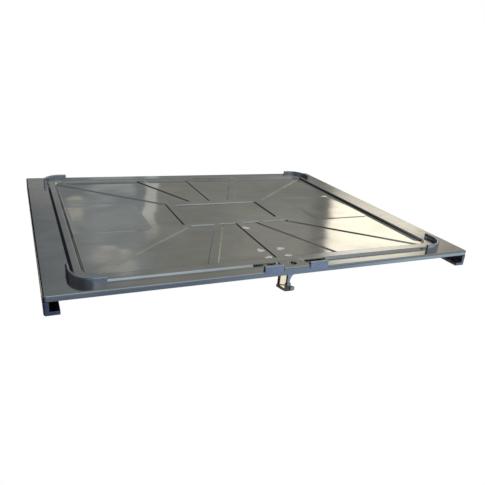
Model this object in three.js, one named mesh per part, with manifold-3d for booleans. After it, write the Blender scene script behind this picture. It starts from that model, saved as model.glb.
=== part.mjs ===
// Pressed steel access cover with a spring latch, in millimetres, +Z up.
// The front edge, with the keyhole and the latch, faces -Y. The origin is under the middle of the
// cover, on the surface that the lowest point of the latch touches.
import * as THREE from 'three';
import { toCreasedNormals, mergeVertices } from 'three/addons/utils/BufferGeometryUtils.js';
import Module from 'manifold-3d';

const wasm = await Module();
wasm.setup();

// ---- Driving dimensions -------------------------------------------------------------------------

const coverWidth = 600;
const coverDepth = 480;
const sheet = 2;
const gap = 0.3;

// Heights above the flange, which is the flat rim of the cover.
const flangeZ = 42;
const ridgeTop = 3.2;
const floorDrop = 1.5;
const guardTop = 9;
const latchGuardTop = 7.4;
const lipHeight = 7.5;

// Ridge: the raised ring that holds the seal. Distances are in from the edge of the cover.
const ridgeSideOuter = 33;
const ridgeFrontOuter = 18;
const ridgeSideInner = 49;
const ridgeFrontInner = 39;
const ridgeCorner = 26;
const ridgeInnerCorner = 14;
const ridgeSlope = 2.4;
const ridgeInnerSlope = 4.4;
const wallDraw = 1.6;

// Central panel with its raised border, and the ribs that run from it to the ridge.
const panelHalfX = 90;
const panelHalfY = 60;
const panelBorderX = 16;
const panelBorderY = 17;
const panelCorner = 4;
const panelRise = 1.8;
const ribWidth = 14;
const ribRise = 1.5;
const ribDraft = 0.9;
const splayedRibStart = 34;
const splayedRibEnd = 98;
const fieldInnerX = 144;
const fieldOuterX = 246;
const fieldHalfY = 61;
const fieldCorner = 8;
const fieldSlope = 1.2;
const fieldDrop = 0.8;

// Stiffening returns along the bottom of the front and back lips.
const returnStart = 1;
const returnEnd = 11;
const returnEndGap = 3;
const returnLatchGap = 4;

// Side channels, which slide on the rails of the frame.
const channelWidth = 17;
const channelHeight = 23.5;
const channelWeb = 6;
const channelTopWall = 3.2;
const channelLip = 4.6;

// Corner guards and latch guards.
const guardWall = 4;
const guardStandOff = 1.2;
const guardSideLeg = 41;
const guardFrontLeg = 35;
const latchGuardOuter = 46.5;
const latchGuardWall = 5;
const latchGuardRound = 1.5;

// Seal: distances in from the outer foot of the ridge.
const sealSideInset = 4.6;
const sealFrontInset = 5.5;
const sealSideWidth = 5;
const sealFrontWidth = 8;
const sealBottomDrop = 3.2;

// Latch opening in the front of the cover. The pad, its keyhole and its guards sit a little to the right.
const latchShift = 2.6;
const padHalfWidth = 19;
const padDepth = 31;
const keyholeRadius = 5;
const keyholeInset = 13;
const slotWidth = 2.4;
const slotLength = 33;

// Latch: distances behind the front edge and below the flange.
const pivotInset = 37;
const pivotDrop = 13;
const pinRadius = 3;
const hookSide = 3;
const hubWidth = 7;
const hookBody = 5.2;
const hookRecess = 1.6;
const hookFlange = 2;
const cheekInner = 12;
const cheekSheet = 2;
const cheekFootDrop = 22.8;
const cheekEndInset = 76;
const bracketTopDrop = 3.8;
const baseHalfWidth = 24;
const baseInset = 42.5;
const baseEndInset = 78;
const tailHalfWidth = 9;
const tailEndInset = 166;
const stopRadius = 1.5;
const stopBehindPivot = 10.2;
const stopBelowPivot = 5.6;
const pushPadSheet = 2;
const pushPadDrop = 9.6;
const pushPadInset = 6;
const pushPadLength = 15;
const pushPadLeft = 8.5;
const pushPadRight = 11;
const spacerRadius = 4.5;
const washerRadius = 5.5;
const washerSheet = 1;
const pinHeadRadius = 5;
const pinHead = 2;
const weldRadius = 4.5;
const weldSpacingX = 31;
const weldSpacingY = 26;
const weldInset = 58;
const tailWeldInset = 156;

const halfWidth = coverWidth / 2;
const halfDepth = coverDepth / 2;
const frontY = -halfDepth;
const pivotY = frontY + pivotInset;
const pivotZ = flangeZ - pivotDrop;

// ---- Materials ----------------------------------------------------------------------------------

const metal = (color, roughness) => new THREE.MeshStandardMaterial({ color, roughness, metalness: 1 });
const materials = {
  cover: metal(0x8f8f88, 0.28),
  channel: metal(0x7b8086, 0.36),
  guard: metal(0x8b97a3, 0.32),
  latch: metal(0xb3b1a6, 0.3),
  hardware: metal(0x9a9a96, 0.25),
  spring: metal(0x5d5f61, 0.4),
  weld: metal(0xc9c8c0, 0.45),
  seal: new THREE.MeshStandardMaterial({ color: 0x1d1e1f, roughness: 0.85, metalness: 0 }),
};

// ---- Solid helpers ------------------------------------------------------------------------------

// Turns a closed three.js geometry into a solid that can be cut and joined.
function solid(geometry) {
  const bare = geometry.index ? geometry.toNonIndexed() : geometry.clone();
  bare.deleteAttribute('normal');
  bare.deleteAttribute('uv');
  const merged = mergeVertices(bare, 1e-4);
  return new wasm.Manifold(new wasm.Mesh({
    numProp: 3,
    vertProperties: new Float32Array(merged.attributes.position.array),
    triVerts: new Uint32Array(merged.index.array),
  }));
}

// Turns a solid back into a geometry with flat faces and smooth rounds.
function toGeometry(body) {
  const mesh = body.getMesh();
  const geometry = new THREE.BufferGeometry();
  geometry.setAttribute('position', new THREE.BufferAttribute(mesh.vertProperties, 3));
  geometry.setIndex(new THREE.BufferAttribute(mesh.triVerts, 1));
  return toCreasedNormals(geometry, THREE.MathUtils.degToRad(32));
}

const join = (...bodies) => bodies.reduce((a, b) => wasm.Manifold.union(a, b));
const cut = (body, ...tools) => tools.reduce((a, b) => wasm.Manifold.difference(a, b), body);

// A block given by its low and high corners.
function block(x0, x1, y0, y1, z0, z1) {
  const box = new THREE.BoxGeometry(x1 - x0, y1 - y0, z1 - z0);
  box.translate((x0 + x1) / 2, (y0 + y1) / 2, (z0 + z1) / 2);
  return solid(box);
}

// A solid between two outlines with the same number of points, one at each height.
function loft(lower, upper, z0, z1) {
  const count = lower.length;
  const positions = [];
  lower.forEach((p) => positions.push(p.x, p.y, z0));
  upper.forEach((p) => positions.push(p.x, p.y, z1));
  const index = [];
  for (let i = 0; i < count; i += 1) {
    const next = (i + 1) % count;
    index.push(i, next, count + next, i, count + next, count + i);
  }
  THREE.ShapeUtils.triangulateShape(lower, []).forEach(([a, b, c]) => index.push(a, c, b));
  THREE.ShapeUtils.triangulateShape(upper, []).forEach(([a, b, c]) => {
    index.push(count + a, count + b, count + c);
  });
  const geometry = new THREE.BufferGeometry();
  geometry.setAttribute('position', new THREE.Float32BufferAttribute(positions, 3));
  geometry.setIndex(index);
  return solid(geometry);
}

// A rectangle with rounded corners, anticlockwise.
function roundedRectangle(halfX, halfY, radius, steps = 10) {
  const points = [];
  const corners = [[1, -1, -90], [1, 1, 0], [-1, 1, 90], [-1, -1, 180]];
  for (const [sx, sy, start] of corners) {
    for (let i = 0; i <= steps; i += 1) {
      const angle = THREE.MathUtils.degToRad(start + (90 * i) / steps);
      const x = sx * (halfX - radius) + radius * Math.cos(angle);
      const y = sy * (halfY - radius) + radius * Math.sin(angle);
      points.push(new THREE.Vector2(x, y));
    }
  }
  return points;
}

// The four corners of a straight strip from one point to another.
function strip(from, to, width) {
  const along = to.clone().sub(from).normalize();
  const across = new THREE.Vector2(-along.y, along.x).multiplyScalar(width / 2);
  return [
    from.clone().sub(across),
    to.clone().sub(across),
    to.clone().add(across),
    from.clone().add(across),
  ];
}

// A round bar along X, Y or Z.
function bar(radius, length, axis, center, segments = 28) {
  const cylinder = new THREE.CylinderGeometry(radius, radius, length, segments);
  if (axis === 'x') cylinder.rotateZ(Math.PI / 2);
  if (axis === 'z') cylinder.rotateX(Math.PI / 2);
  cylinder.translate(center[0], center[1], center[2]);
  return solid(cylinder);
}

// An outline in the YZ plane, given as [y, z] points, made into a plate from x0 to x1.
function sidePlate(points, x0, x1, holes = []) {
  const shape = new THREE.Shape(points.map(([y, z]) => new THREE.Vector2(y, z)));
  shape.holes = holes;
  const plate = new THREE.ExtrudeGeometry(shape, {
    depth: x1 - x0,
    bevelEnabled: false,
    curveSegments: 14,
  });
  plate.rotateX(Math.PI / 2);
  plate.rotateZ(Math.PI / 2);
  plate.translate(x0, 0, 0);
  return solid(plate);
}

const root = new THREE.Group();

function addPart(name, body, material) {
  const mesh = new THREE.Mesh(toGeometry(body), material);
  mesh.name = name;
  root.add(mesh);
}

// ---- Cover plate --------------------------------------------------------------------------------

// The solid under the pressed surface. The sheet is the difference between the solid under its top
// face and the same solid lowered by the sheet's thickness and drawn in at every wall.
function pressedForm(lower, draw) {
  const top = flangeZ - lower;
  const base = flangeZ - lipHeight - lower;
  const ridgeOuter = (extra) => roundedRectangle(
    halfWidth - ridgeSideOuter - extra - draw,
    halfDepth - ridgeFrontOuter - extra - draw,
    ridgeCorner - extra,
  );
  const ridgeInner = (extra) => roundedRectangle(
    halfWidth - ridgeSideInner + extra + draw,
    halfDepth - ridgeFrontInner + extra + draw,
    ridgeInnerCorner + extra,
  );
  const rim = lower > 0
    ? block(-halfWidth - 1, halfWidth + 1, frontY + draw, halfDepth - draw, base, top)
    : block(-halfWidth, halfWidth, frontY, halfDepth, base, top);
  const ridge = loft(ridgeOuter(0), ridgeOuter(ridgeSlope), top - 0.5, top + ridgeTop);
  const floor = top - floorDrop;
  const well = loft(ridgeInner(0), ridgeInner(ridgeInnerSlope), floor, top + ridgeTop);
  const lift = block(latchShift - padHalfWidth + draw, latchShift + padHalfWidth - draw, frontY + draw,
    frontY + padDepth, base, top + ridgeTop);
  const wellMouth = ridgeInner(ridgeInnerSlope);
  const wellTop = loft(wellMouth, wellMouth, top + ridgeTop - 0.01, top + 20);
  let form = cut(join(rim, ridge, lift), well, wellTop);
  for (const [from, to] of ribLines()) {
    const foot = strip(from, to, ribWidth - 2 * draw);
    const crown = strip(from, to, ribWidth - 2 * ribDraft - 2 * draw);
    form = join(form, loft(foot, crown, floor - 0.4, floor + ribRise));
  }
  form = cut(form, sideField(-1, floor, draw), sideField(1, floor, draw));
  return join(form, panelBorder(floor, draw));
}

// The shallow sunk field on one side of the floor.
function sideField(side, floor, draw) {
  const middle = (side * (fieldInnerX + fieldOuterX)) / 2;
  const halfX = (fieldOuterX - fieldInnerX) / 2;
  const outline = (extra) => {
    const grown = extra + draw;
    const rectangle = roundedRectangle(halfX + grown, fieldHalfY + grown, fieldCorner + extra, 6);
    return rectangle.map((p) => new THREE.Vector2(p.x + middle, p.y));
  };
  return loft(outline(0), outline(fieldSlope), floor - fieldDrop, floor + 0.4);
}

// Centre lines of the ribs: three at the front, three at the back and one to each corner.
function ribLines() {
  const lines = [];
  const endX = halfWidth - ridgeSideInner + 1;
  const endY = halfDepth - ridgeFrontInner + 1;
  for (const sy of [-1, 1]) {
    const startY = sy * (panelHalfY - 2);
    lines.push([new THREE.Vector2(0, startY), new THREE.Vector2(0, sy * endY)]);
    for (const sx of [-1, 1]) {
      const from = new THREE.Vector2(sx * splayedRibStart, startY);
      lines.push([from, new THREE.Vector2(sx * splayedRibEnd, sy * endY)]);
      const corner = new THREE.Vector2(sx * (panelHalfX - 4), sy * (panelHalfY - 4));
      lines.push([corner, new THREE.Vector2(sx * (endX - 3), sy * (endY - 3))]);
    }
  }
  return lines;
}

// The raised border round the plain central panel.
function panelBorder(floor, draw) {
  const outer = (e) => roundedRectangle(panelHalfX - e - draw, panelHalfY - e - draw, panelCorner, 3);
  const inner = (e) => roundedRectangle(
    panelHalfX - panelBorderX + e + draw,
    panelHalfY - panelBorderY + e + draw,
    panelCorner,
    3,
  );
  const slab = loft(outer(0), outer(ribDraft), floor - 0.4, floor + panelRise);
  const hollow = loft(inner(0), inner(ribDraft), floor, floor + panelRise);
  const above = loft(inner(ribDraft), inner(ribDraft), floor + panelRise - 0.01, floor + 20);
  return cut(slab, hollow, above);
}

function coverPlate() {
  let plate = cut(pressedForm(0, 0), pressedForm(sheet, wallDraw));
  // Stiffening returns along the bottom of the front and back lips, clear of the latch.
  const returnX = halfWidth - channelWidth - returnEndGap;
  const latchX = padHalfWidth + returnLatchGap;
  const returnZ = flangeZ - lipHeight;
  const lipReturn = (x0, x1, sy) => {
    const a = sy * (halfDepth - returnStart);
    const b = sy * (halfDepth - returnEnd);
    return block(x0, x1, Math.min(a, b), Math.max(a, b), returnZ, returnZ + sheet);
  };
  plate = join(
    plate,
    lipReturn(-returnX, -latchX, -1),
    lipReturn(latchX, returnX, -1),
    lipReturn(-returnX, returnX, 1),
  );
  const keyhole = bar(keyholeRadius, 30, 'z', [latchShift, frontY + keyholeInset, flangeZ]);
  plate = cut(plate, keyhole);
  // Two slots through the ridge's front slope, one on each side of the pad.
  const slotY = frontY + ridgeFrontOuter + ridgeSlope / 2;
  for (const sx of [-1, 1]) {
    const middle = latchShift + sx * (padHalfWidth + 2 + slotLength / 2);
    plate = cut(plate, block(middle - slotLength / 2, middle + slotLength / 2,
      slotY - slotWidth / 2, slotY + slotWidth / 2, flangeZ - 9, flangeZ + 9));
  }
  for (const [x, y] of weldPlaces()) {
    plate = cut(plate, bar(weldRadius, 12, 'z', [x, y, flangeZ - 2]));
  }
  return plate;
}

// ---- Side channels ------------------------------------------------------------------------------

// side is -1 on the left and 1 on the right. The channel opens towards the middle of the cover.
function sideChannel(side) {
  const top = flangeZ - sheet - gap;
  const bottom = flangeZ - channelHeight;
  const outer = side * halfWidth;
  const at = (distance) => outer - side * distance;
  const span = (a, b) => [Math.min(at(a), at(b)), Math.max(at(a), at(b))];
  const [x0, x1] = span(0, channelWidth);
  const [h0, h1] = span(channelWeb, channelWidth + 1);
  const body = block(x0, x1, frontY, halfDepth, bottom, top);
  const hollow = block(h0, h1, frontY - 1, halfDepth + 1, bottom + channelLip, top - channelTopWall);
  const notchDepth = sheet + gap;
  const notchZ = flangeZ - lipHeight - gap;
  const front = block(x0 - 1, x1 + 1, frontY - 1, frontY + notchDepth, notchZ, top + 1);
  const back = block(x0 - 1, x1 + 1, halfDepth - notchDepth, halfDepth + 1, notchZ, top + 1);
  return cut(body, hollow, front, back);
}

// ---- Guards -------------------------------------------------------------------------------------

// A thin wall that wraps one outer corner of the ridge and stands on the flange.
function cornerGuard(sx, sy) {
  const outerX = halfWidth - ridgeSideOuter + guardStandOff + guardWall;
  const outerY = halfDepth - ridgeFrontOuter + guardStandOff + guardWall;
  const outer = roundedRectangle(outerX, outerY, ridgeCorner + guardStandOff + guardWall, 12);
  const inner = roundedRectangle(
    outerX - guardWall,
    outerY - guardWall,
    ridgeCorner + guardStandOff,
    12,
  );
  const z0 = flangeZ + gap;
  const z1 = flangeZ + guardTop;
  const lowX = halfWidth - ridgeSideOuter - guardFrontLeg;
  const lowY = halfDepth - ridgeFrontOuter - guardSideLeg;
  const ring = cut(loft(outer, outer, z0, z1), loft(inner, inner, z0 - 1, z1 + 1));
  const xs = [sx * lowX, sx * (halfWidth + 1)].sort((a, b) => a - b);
  const ys = [sy * lowY, sy * (halfDepth + 1)].sort((a, b) => a - b);
  return ring.intersect(block(xs[0], xs[1], ys[0], ys[1], z0, z1));
}

// A block on the front edge beside the latch pad.
function latchGuard(side) {
  const inner = padHalfWidth + gap;
  const xs = [latchShift + side * inner, latchShift + side * latchGuardOuter].sort((a, b) => a - b);
  const shape = new THREE.Shape();
  const radius = latchGuardRound;
  const top = flangeZ + latchGuardTop;
  shape.moveTo(xs[0], flangeZ + gap);
  shape.lineTo(xs[1], flangeZ + gap);
  shape.lineTo(xs[1], top - radius);
  shape.absarc(xs[1] - radius, top - radius, radius, 0, Math.PI / 2);
  shape.lineTo(xs[0] + radius, top);
  shape.absarc(xs[0] + radius, top - radius, radius, Math.PI / 2, Math.PI);
  const wall = new THREE.ExtrudeGeometry(shape, {
    depth: latchGuardWall,
    bevelEnabled: false,
    curveSegments: 5,
  });
  wall.rotateX(Math.PI / 2);
  wall.translate(0, frontY + latchGuardWall, 0);
  return solid(wall);
}

// ---- Seal ---------------------------------------------------------------------------------------

// The sealing strip that lies in the groove under the ridge.
function ridgeSeal() {
  const insetX = ridgeSideOuter + sealSideInset;
  const insetY = ridgeFrontOuter + sealFrontInset;
  const outer = roundedRectangle(halfWidth - insetX, halfDepth - insetY, ridgeCorner - 4);
  const inner = roundedRectangle(
    halfWidth - insetX - sealSideWidth,
    halfDepth - insetY - sealFrontWidth,
    ridgeCorner - 9,
  );
  const z0 = flangeZ - sealBottomDrop;
  const z1 = flangeZ + ridgeTop - sheet - gap;
  return cut(loft(outer, outer, z0, z1), loft(inner, inner, z0 - 1, z1 + 1));
}

// ---- Latch --------------------------------------------------------------------------------------

function weldPlaces() {
  const places = [];
  for (const sx of [-1, 1]) {
    for (const sy of [-1, 1]) {
      places.push([(sx * weldSpacingX) / 2, frontY + weldInset + (sy * weldSpacingY) / 2]);
    }
  }
  places.push([0, frontY + tailWeldInset]);
  return places;
}

// Base plate with a tail, and two cheeks that carry the pivot pin and the stop pin.
function latchBracket() {
  const top = flangeZ - bracketTopDrop;
  const baseEnd = frontY + baseEndInset;
  const base = block(-baseHalfWidth, baseHalfWidth, frontY + baseInset, baseEnd, top - sheet, top);
  const tail = block(-tailHalfWidth, tailHalfWidth, baseEnd - 1, frontY + tailEndInset, top - sheet, top);
  let body = join(base, tail);
  const y0 = pivotY - 8;
  const y1 = frontY + cheekEndInset;
  const low = flangeZ - cheekFootDrop;
  for (const side of [-1, 1]) {
    const x0 = side > 0 ? cheekInner : -cheekInner - cheekSheet;
    const outline = [
      [y0, pivotZ + 3],
      [y0, pivotZ - 4.5],
      [pivotY - 3, low],
      [pivotY + 14, low],
      [y1, top - 8],
      [y1, top - sheet / 2],
      [frontY + 43, top - sheet / 2],
      [frontY + 41, pivotZ + 6],
    ];
    body = join(body, sidePlate(outline, x0, x0 + cheekSheet));
  }
  const pinHole = bar(pinRadius + gap, 60, 'x', [0, pivotY, pivotZ]);
  const stopHole = bar(stopRadius + gap, 60, 'x', [0, ...stopPlace()]);
  return cut(body, pinHole, stopHole);
}

const stopPlace = () => [pivotY + stopBehindPivot, pivotZ - stopBelowPivot];

// The hook: a plate on edge with a shallow recess in each side, a nose that catches under the
// frame, a ramp below the nose, and a push pad under the keyhole.
function latchHook() {
  const hubX = hookSide - hubWidth / 2;
  const x0 = hookSide - hubWidth + 0.2;
  const x1 = x0 + hookBody;
  const noseTipY = frontY + 2.2;
  const bodyY = frontY + 12;
  const rearY = pivotY - 1.5;
  const z = (drop) => flangeZ - drop;
  const outline = new THREE.Shape();
  outline.moveTo(bodyY, z(8));
  outline.lineTo(bodyY, z(37));
  outline.quadraticCurveTo(bodyY + 10, z(40.2), rearY - 2, z(41.2));
  outline.quadraticCurveTo(rearY, z(41.2), rearY, z(38.5));
  outline.lineTo(rearY, z(22.5));
  outline.lineTo(pivotY + 2, z(19.4));
  outline.lineTo(pivotY + 6.4, z(18));
  outline.lineTo(pivotY + 11.5, z(16.4));
  outline.lineTo(pivotY + 11.5, z(13.6));
  outline.lineTo(pivotY + 5.2, z(11));
  outline.absarc(pivotY, pivotZ, 5.6, 0.38, Math.PI / 2 + 0.4, false);
  outline.lineTo(pivotY - 8, z(8));
  const plate = sidePlate(outline.getPoints(8).map((p) => [p.x, p.y]), x0, x1);

  // The nose is wider than the plate behind it.
  const tip = new THREE.Shape();
  tip.moveTo(bodyY + 3, z(26));
  tip.lineTo(bodyY, z(26));
  tip.lineTo(bodyY, z(27.5));
  tip.absarc(bodyY - 1.5, z(27.5), 1.5, 0, -Math.PI / 2, true);
  tip.lineTo(noseTipY + 1, z(26.4));
  tip.quadraticCurveTo(noseTipY, z(26.6), noseTipY, z(28));
  tip.lineTo(noseTipY, z(30.5));
  tip.quadraticCurveTo(noseTipY + 1, z(32.5), bodyY, z(37));
  tip.lineTo(bodyY + 3, z(38));
  const nose = sidePlate(tip.getPoints(8).map((p) => [p.x, p.y]), x0 - 0.4, hookSide + 0.3);

  // Each recess leaves a flange round the plate, and a low rib crosses it near the foot.
  const y0 = bodyY + hookFlange;
  const y1 = rearY - hookFlange;
  const hubY = pivotY - 6.5;
  const upper = [[y0, z(11)], [y0, z(28.2)], [y1, z(36.8)], [y1, z(24)], [hubY, z(18)], [hubY, z(11)]];
  const lower = [[y0, z(29.6)], [y0, z(35)], [y0 + 8, z(37.4)], [y1 - 1, z(38.6)], [y1 - 1, z(37.8)]];
  const recesses = [upper, lower].flatMap((points) => [
    sidePlate(points, x0 - 1, x0 + hookRecess),
    sidePlate(points, x1 - hookRecess, x1 + 1),
  ]);

  // The rolled eye at the lower rear corner, for a pull wire.
  const eyePlace = [(x0 + x1) / 2, rearY - 0.2, z(39.7)];
  const eye = bar(2.3, hookBody, 'x', eyePlace, 20);
  const eyeHole = bar(0.9, hookBody + 2, 'x', eyePlace, 14);
  const hub = bar(5, hubWidth, 'x', [hubX, pivotY, pivotZ]);

  // The push pad and the gusset that braces it.
  const padY = frontY + pushPadInset;
  const padZ = z(pushPadDrop);
  const pad = block(-pushPadLeft, pushPadRight, padY, padY + pushPadLength, padZ, padZ + pushPadSheet);
  const gusset = new THREE.Shape();
  gusset.moveTo(x1 - 0.5, z(9));
  gusset.lineTo(x1 - 0.5, z(23));
  gusset.quadraticCurveTo(x1 + 1.5, z(12.5), pushPadRight, z(11.2));
  gusset.lineTo(pushPadRight, z(9));
  const web = new THREE.ExtrudeGeometry(gusset, {
    depth: pushPadSheet,
    bevelEnabled: false,
    curveSegments: 8,
  });
  web.rotateX(Math.PI / 2);
  web.translate(0, bodyY + hookFlange, 0);
  const bore = bar(pinRadius + gap, 60, 'x', [0, pivotY, pivotZ]);
  return cut(join(cut(plate, ...recesses), nose, hub, eye, pad, solid(web)), eyeHole, bore);
}

// The pivot pin, with a head on the +X side and a groove for the clip on the other.
function hookPin() {
  const shank = bar(pinRadius, 2 * cheekInner + 11, 'x', [-1.5, pivotY, pivotZ]);
  const headX = cheekInner + cheekSheet + gap + pinHead / 2;
  const head = bar(pinHeadRadius, pinHead, 'x', [headX, pivotY, pivotZ]);
  return join(shank, head);
}

// A tube along X between two places on the pivot pin.
function tube(outerRadius, innerRadius, x0, x1, place = [pivotY, pivotZ]) {
  const center = [(x0 + x1) / 2, ...place];
  return cut(bar(outerRadius, x1 - x0, 'x', center), bar(innerRadius, x1 - x0 + 2, 'x', center));
}

// The clip is a ring with a gap, pushed on the pin from below.
function pinClip() {
  const x1 = -cheekInner - cheekSheet - washerSheet - 2 * gap;
  const ring = tube(5, pinRadius + gap / 2, x1 - 1, x1);
  return cut(ring, block(x1 - 2, x1 + 1, pivotY - 1.6, pivotY + 1.6, pivotZ - 8, pivotZ));
}

// The torsion spring: turns round the left spacer, one leg under the bracket's base and one leg
// under the push pad.
function torsionSpring() {
  const wire = 0.65;
  const radius = 5.6;
  const turns = 3;
  const pitch = 1.65;
  const firstX = -11.1;
  const steps = 20;
  const leave = THREE.MathUtils.degToRad(12);
  const at = (x, y, z) => new THREE.Vector3(x, pivotY + y, pivotZ + z);
  const points = [[19, 0.55], [12, 0.45], [5, 0.2]].map(([y, rise]) => at(firstX, y, radius + rise));
  for (let i = 0; i <= turns * steps; i += 1) {
    const angle = Math.PI / 2 + (2 * Math.PI * i) / steps;
    points.push(at(firstX + (pitch * i) / steps, radius * Math.cos(angle), radius * Math.sin(angle)));
  }
  const legX = firstX + pitch * turns;
  for (const reach of [5, 12, 19, 26]) {
    points.push(at(legX, -reach, radius - 0.15 - (reach - 1) * Math.tan(leave)));
  }
  const path = new THREE.CatmullRomCurve3(points, false, 'centripetal');
  const section = new THREE.Shape();
  section.absarc(0, 0, wire, 0, Math.PI * 2);
  return solid(new THREE.ExtrudeGeometry(section, {
    steps: turns * steps * 2 + 24,
    extrudePath: path,
    curveSegments: 4,
    bevelEnabled: false,
  }));
}

// ---- Assembly -----------------------------------------------------------------------------------

addPart('cover_plate', coverPlate(), materials.cover);
for (const [side, name] of [[-1, 'left'], [1, 'right']]) {
  addPart(`side_channel_${name}`, sideChannel(side), materials.channel);
  addPart(`latch_guard_${name}`, latchGuard(side), materials.guard);
  addPart(`corner_guard_front_${name}`, cornerGuard(side, -1), materials.guard);
  addPart(`corner_guard_back_${name}`, cornerGuard(side, 1), materials.guard);
}
addPart('ridge_seal', ridgeSeal(), materials.seal);
addPart('latch_bracket', latchBracket(), materials.latch);
weldPlaces().forEach(([x, y], i) => {
  const onRib = i === 4;
  const top = flangeZ - floorDrop + (onRib ? ribRise : 0) + 0.4;
  const bottom = flangeZ - bracketTopDrop + 0.05;
  addPart(`plug_weld_${i + 1}`, bar(weldRadius - 0.1, top - bottom, 'z', [x, y, (top + bottom) / 2]),
    materials.weld);
});
addPart('latch_hook', latchHook(), materials.latch);
addPart('hook_pin', hookPin(), materials.hardware);
const pinFit = pinRadius + 0.15;
const washerX = -cheekInner - cheekSheet - gap;
addPart('pin_washer', tube(washerRadius, pinFit, washerX - washerSheet, washerX), materials.hardware);
addPart('pin_clip', pinClip(), materials.hardware);
const spacers = {
  left: [-cheekInner + gap, hookSide - hubWidth - gap],
  right: [hookSide + gap, cheekInner - gap],
};
for (const [side, [x0, x1]] of Object.entries(spacers)) {
  addPart(`spacer_${side}`, tube(spacerRadius, pinFit, x0, x1), materials.hardware);
}
const stopLength = 2 * (cheekInner + cheekSheet) + 1;
addPart('stop_pin', bar(stopRadius, stopLength, 'x', [0, ...stopPlace()]), materials.hardware);
addPart('torsion_spring', torsionSpring(), materials.spring);

export default root;
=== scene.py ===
"""Pressed steel access cover: camera, light, materials and detailed pieces over the CAD frame."""
import math

import bmesh
import bpy
import numpy as np
from mathutils import Matrix, Vector
from mathutils.geometry import delaunay_2d_cdt


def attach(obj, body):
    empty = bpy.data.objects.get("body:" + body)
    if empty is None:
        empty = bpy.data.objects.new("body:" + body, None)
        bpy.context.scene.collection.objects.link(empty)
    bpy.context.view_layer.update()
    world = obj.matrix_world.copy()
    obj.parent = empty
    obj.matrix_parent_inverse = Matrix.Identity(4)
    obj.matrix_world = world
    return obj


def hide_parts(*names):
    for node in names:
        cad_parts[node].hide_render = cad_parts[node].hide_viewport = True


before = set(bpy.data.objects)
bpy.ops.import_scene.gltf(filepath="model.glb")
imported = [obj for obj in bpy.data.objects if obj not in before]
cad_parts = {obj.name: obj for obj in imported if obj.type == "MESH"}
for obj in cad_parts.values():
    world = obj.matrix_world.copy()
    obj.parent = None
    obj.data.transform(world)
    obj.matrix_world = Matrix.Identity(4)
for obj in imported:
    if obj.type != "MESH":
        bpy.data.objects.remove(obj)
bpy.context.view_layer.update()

# ---- Dimensions, in millimetres ------------------------------------------------------------------

# The pressed sheet, as in the CAD part. Heights are above the flange. An outline is its half width,
# its half depth and the radius of its corners.
HALF_X = 300.0
HALF_Y = 240.0
SHEET = 2.0
FLANGE_Z = 42.0
RIDGE_TOP = 3.2
FLOOR = -1.5
LIP = 7.5
DRAW = 1.6
RIDGE_OUTER = (267.0, 222.0, 26.0)
RIDGE_INNER = (251.0, 201.0, 14.0)
OUTER_SLOPE = 2.4
INNER_SLOPE = 4.4
BORDER_OUTER = (90.0, 60.0, 4.0)
BORDER_INNER = (74.0, 43.0, 4.0)
BORDER_RISE = 1.8
BORDER_FALL = 2.0
RIB_HALF = 7.0
RIB_RISE = 1.5
RIB_DRAFT = 0.9
RIB_START_Y = 58.0
RIB_END_Y = 204.0
SPLAYED_START_X = 34.0
SPLAYED_END_X = 98.9
CORNER_RIB_START = (86.0, 56.0)
CORNER_RIB_END = (249.0, 199.0)
FIELD_X = 195.0
FIELD = (51.0, 61.0, 8.0)
LATCH_X = 2.6
PAD_HALF = 19.0
PAD_BACK = -209.0
PAD_Y = -234.0
PAD_REACH = 25.0
PAD_CORNER = 3.0
PAD_STEEPNESS = 3.2
KEYHOLE_Y = -227.0
KEYHOLE_R = 5.0
SLOT_X = 37.5
SLOT_Y = -220.8
SLOT = (16.5, 1.2, 1.1)

# How far below the face it rises from each raised form starts.
RIDGE_SUNK = 0.5
RIB_SUNK = 0.4

# The side fields are fainter than in the CAD part: depth, slope of their walls, reach of the walls.
FIELD_DROP = 0.3
FIELD_SLOPE = 0.09
FIELD_REACH = 5.2

# Blends where faces meet: at the top and at the foot of each raised form.
RIDGE_CROWN = 1.5
RIDGE_FOOT = 1.3
CROWN = 0.9
FOOT = 0.7
PAD_FOOT = 0.5
FIELD_BLEND = 0.25

# Rounds that the CAD part doesn't have, all inside its box.
EDGE_ROUND = 2.3
SIDE_ROUND = 1.9
CORNER = 4.0
KEYHOLE_ROUND = 0.8
KEYHOLE_SINK = 0.45
KEYHOLE_COLLAR = 2.4

# The foot of a folded lip: distance in from the lip's outer face, height above its low edge.
LIP_FOOT = [(0, 0.9), (0.25, 0.3), (0.8, 0), (1.3, 0), (1.8, 0.25), (2, 0.8)]
LIP_WALL_END = 1.6
# The stiffening returns along the foot of the lips: where each starts and ends along X, and on which
# side, and their section as distance in from the lip's outer face and height above its low edge.
RETURNS = [(-280, -23, -1), (23, 280, -1), (-280, 280, 1)]
RETURN_SECTION = [(1, 0), (10.2, 0), (10.8, 0.3), (11, 1), (10.8, 1.7), (10.2, 2), (1, 2)]

# Where the sheet's mesh has lines: distances in from its edges, or out from each outline.
TOP_ROWS = [0, 0.12, 0.4, 0.85, 1.5, 2.3]
SIDE_ROWS = [0, 0.1, 0.35, 0.75, 1.3, 1.9]
RIDGE_OUTER_ROWS = [1.1, 0.4, -0.3, -1.0, -1.7, -2.4, -3.2, -4.2]
RIDGE_INNER_ROWS = [-1.3, -0.5, 0.3, 1.2, 2.3, 3.3, 4.1, 4.9, 5.9]
WALL_ROWS = [0.7, 0.25, -0.15, -0.5, -0.9, -1.5]
BORDER_INNER_ROWS = [-0.6, -0.15, 0.25, 0.6, 1.0, 1.6]
FIELD_ROWS = [-2.0, -1.0, 0.0, 1.0, 2.0, 2.8, 3.6, 4.4, 5.3]
PAD_ROWS = [0.3, 0, -0.4, -0.8, -1.2, -1.8]

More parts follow.
